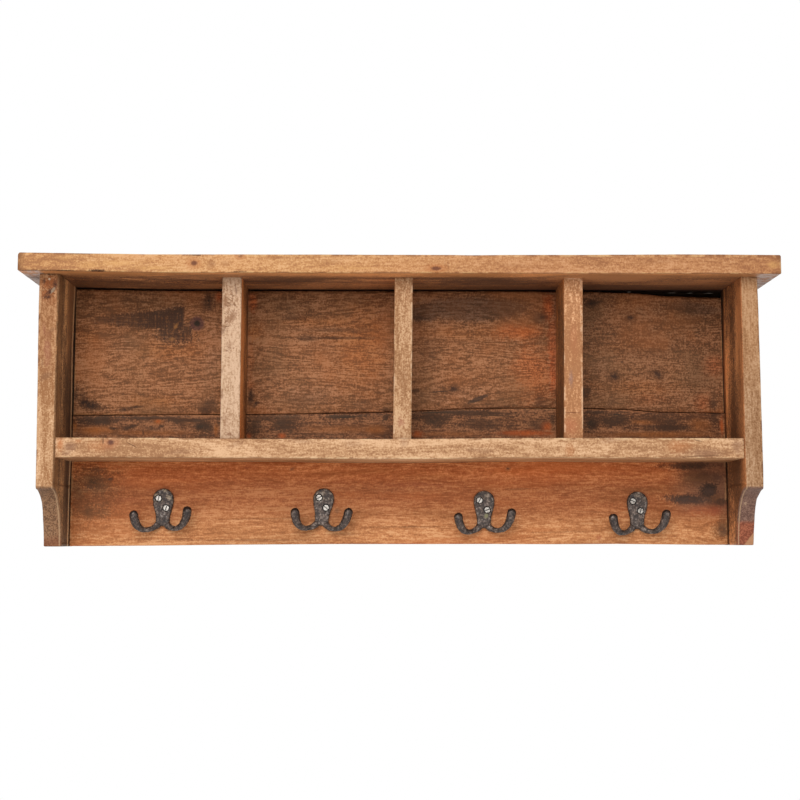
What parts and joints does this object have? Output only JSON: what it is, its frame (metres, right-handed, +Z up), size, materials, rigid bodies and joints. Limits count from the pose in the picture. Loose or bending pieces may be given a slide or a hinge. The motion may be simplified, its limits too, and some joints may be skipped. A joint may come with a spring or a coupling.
{
  "type": "wall coat rack with shelf",
  "caption": "Wall-hung coat rack of reclaimed boards: a top shelf over a row of open compartments, with cast double hooks on a rail below.",
  "frame": {"origin": "on the wall plane, midway between the round entries of the two keyhole hangers in the rear edges of the side panels", "axes": "+X to the right along the boards as seen from the front, +Y into the wall, +Z up; the front faces -Y"},
  "size_m": [0.9999, 0.145, 0.3829],
  "materials": {
    "top_wood": "worn waxed reclaimed wood, honey tan",
    "side_wood": "worn waxed reclaimed wood, tan, darker on the inner faces",
    "divider_wood": "worn waxed reclaimed wood, pale tan",
    "shelf_wood": "worn waxed reclaimed wood, pale yellow tan",
    "back_wood": "dark brown reclaimed wood with orange grain",
    "rail_wood": "red brown reclaimed wood, golden at its lower edge",
    "dowel_wood": "plain beech",
    "hook_iron": "rough black casting, worn brighter on high spots",
    "screw_steel": "bright nickel",
    "zinc_steel": "dull zinc plate"
  },
  "bodies": {
    "root": {"top_board": "top_wood", "left_side_panel": "side_wood", "right_side_panel": "side_wood", "shelf_board": "shelf_wood", "divider_left": "divider_wood", "divider_centre": "divider_wood", "divider_right": "divider_wood", "back_board_upper": "back_wood", "hook_rail": "rail_wood", "coat_hook_1": "hook_iron", "hook_screws_1": "screw_steel", "coat_hook_2": "hook_iron", "hook_screws_2": "screw_steel", "coat_hook_3": "hook_iron", "hook_screws_3": "screw_steel", "coat_hook_4": "hook_iron", "hook_screws_4": "screw_steel", "top_dowels": "dowel_wood", "divider_dowels": "dowel_wood", "shelf_dowels": "dowel_wood", "upper_back_screws": "zinc_steel", "rail_screws": "zinc_steel", "hanger_plate_left": "zinc_steel", "hanger_plate_right": "zinc_steel", "hanger_screws_left": "zinc_steel", "hanger_screws_right": "zinc_steel"}
  },
  "joints": []
}
